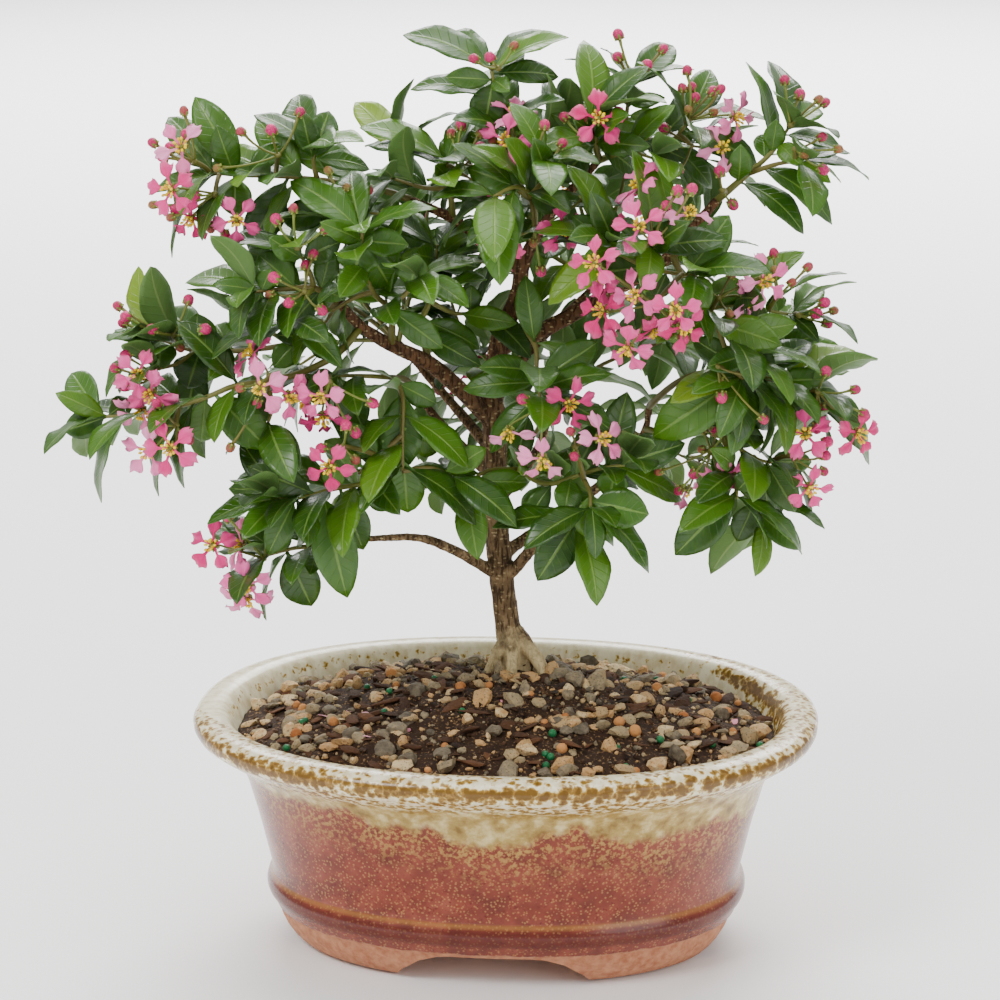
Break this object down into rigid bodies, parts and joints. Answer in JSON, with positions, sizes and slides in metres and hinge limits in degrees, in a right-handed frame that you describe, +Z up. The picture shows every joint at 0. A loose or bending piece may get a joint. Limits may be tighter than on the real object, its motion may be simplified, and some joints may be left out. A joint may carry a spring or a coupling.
{
  "type": "flowering bonsai in an oval pot",
  "caption": "Small flowering cherry bonsai with pink fringed blooms and glossy opposite leaves, rooted in gravelly soil in an oval glazed pot with low feet.",
  "frame": {"origin": "centre of the bounding box at the underside of the pot's feet", "axes": "+X along the pot's length, to the right as seen from the front; +Y from the front to the back; +Z up"},
  "size_m": [0.2544, 0.1806, 0.2965],
  "materials": {
    "pot_glaze": "gloss",
    "drain_mesh": "matte",
    "soil": "matte",
    "bark": "matte",
    "leaf": "satin",
    "petal": "matte"
  },
  "bodies": {
    "root": {"pot": "pot_glaze", "drain_mesh_left": "drain_mesh", "drain_mesh_right": "drain_mesh", "soil": "soil", "trunk": "bark", "spray_upper_left": "leaf", "spray_upper_mid": "leaf", "spray_left_top": "leaf", "spray_left_bright": "leaf", "spray_left_inner": "leaf", "spray_left_far": "leaf", "spray_left_low": "leaf", "spray_mid_low": "leaf", "spray_low_left": "leaf", "spray_low_left_tip": "leaf", "spray_apex": "leaf", "spray_top_front": "leaf", "spray_top_mid": "leaf", "spray_top_right": "leaf", "spray_right_tip": "leaf", "spray_right_front": "leaf", "spray_right_mid": "leaf", "spray_right_low": "leaf", "spray_right_under": "leaf", "spray_centre_hang": "leaf", "spray_centre_low": "leaf", "spray_low_right": "leaf", "spray_back_left": "leaf", "spray_back_right": "leaf", "spray_back_low": "leaf", "flowers_upper_left": "petal", "flowers_upper_left_top": "petal", "flowers_upper_left_under": "petal", "flowers_left_top": "petal", "flowers_left_far": "petal", "flowers_left_low": "petal", "flowers_left_mid": "petal", "flowers_left_front": "petal", "flowers_low_left": "petal", "flowers_apex": "petal", "flowers_top_left": "petal", "flowers_top_mid": "petal", "flowers_top_centre": "petal", "flowers_top_spray": "petal", "flowers_top_right": "petal", "flowers_right_tip": "petal", "flowers_right_upper": "petal", "flowers_right_limb": "petal", "flowers_centre_top": "petal", "flowers_right_front": "petal", "flowers_right_far": "petal", "flowers_centre": "petal", "flowers_right_low_a": "petal", "flowers_right_low_b": "petal", "flowers_right_low_c": "petal", "flowers_right_outer": "petal", "flowers_centre_back": "petal", "flowers_back_left": "petal", "flowers_back_right": "petal", "flowers_back_low": "petal"}
  },
  "joints": []
}
